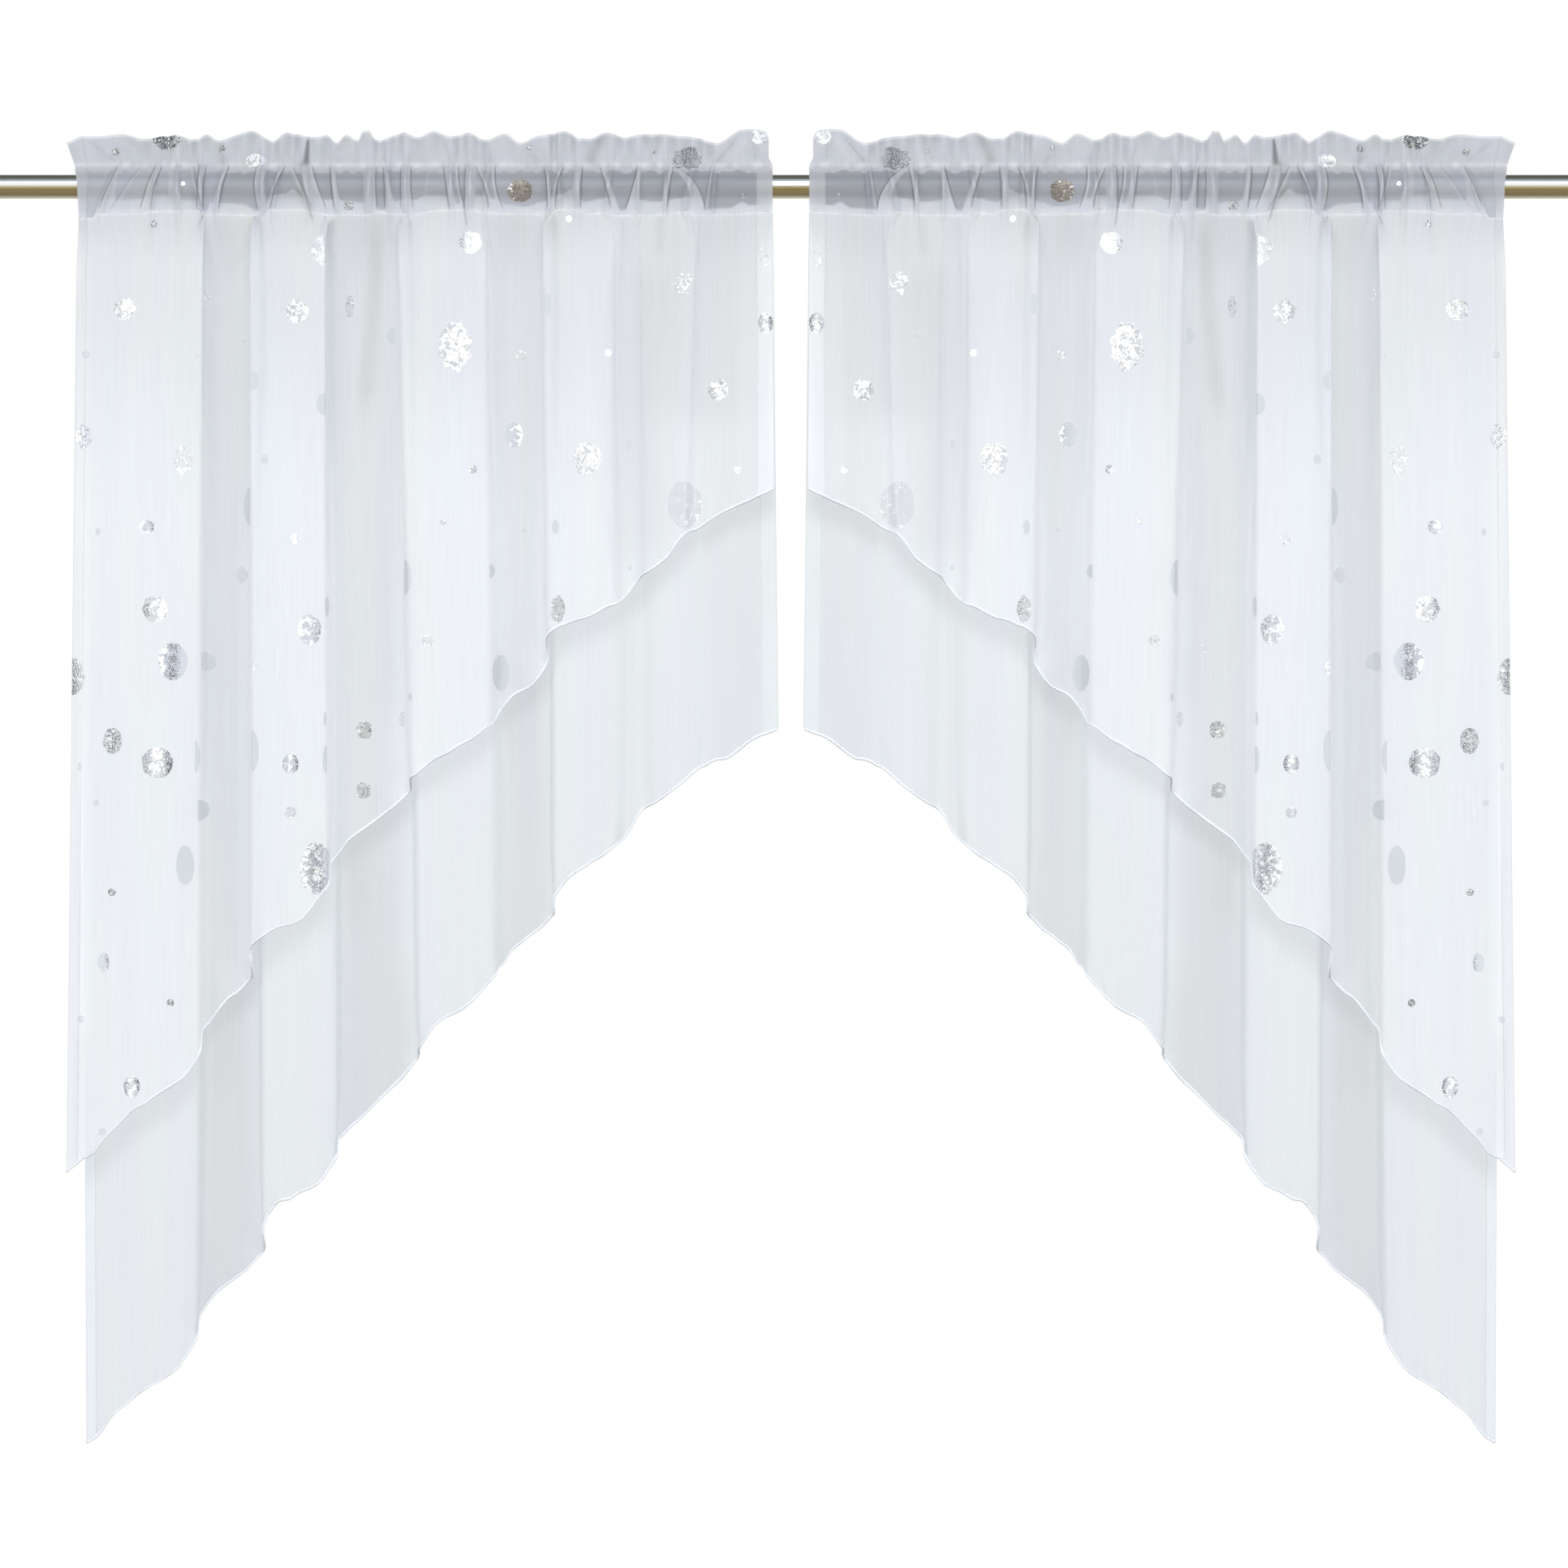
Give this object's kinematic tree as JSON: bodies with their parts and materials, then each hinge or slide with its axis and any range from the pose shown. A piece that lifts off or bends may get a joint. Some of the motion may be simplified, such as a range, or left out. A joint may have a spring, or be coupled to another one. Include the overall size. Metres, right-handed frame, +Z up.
{
  "type": "cafe curtain pair on a curtain rod",
  "caption": "Pair of sheer layered cafe curtains gathered on a round curtain rod, each with a short dotted panel over a long plain one, both cut on a slant.",
  "frame": {"origin": "on the rod's axis, midway between the two curtains", "axes": "+X along the rod to the right curtain, +Y to the back, towards the window, +Z up"},
  "size_m": [1.32, 0.0552, 1.079],
  "materials": {
    "voile": "sheer white polyester voile, with crinkled silver foil dots on the front panels",
    "rod_metal": "satin champagne metal"
  },
  "bodies": {
    "root": {"rod": "rod_metal", "left_front_panel": "voile", "left_back_panel": "voile", "right_front_panel": "voile", "right_back_panel": "voile"}
  },
  "joints": []
}
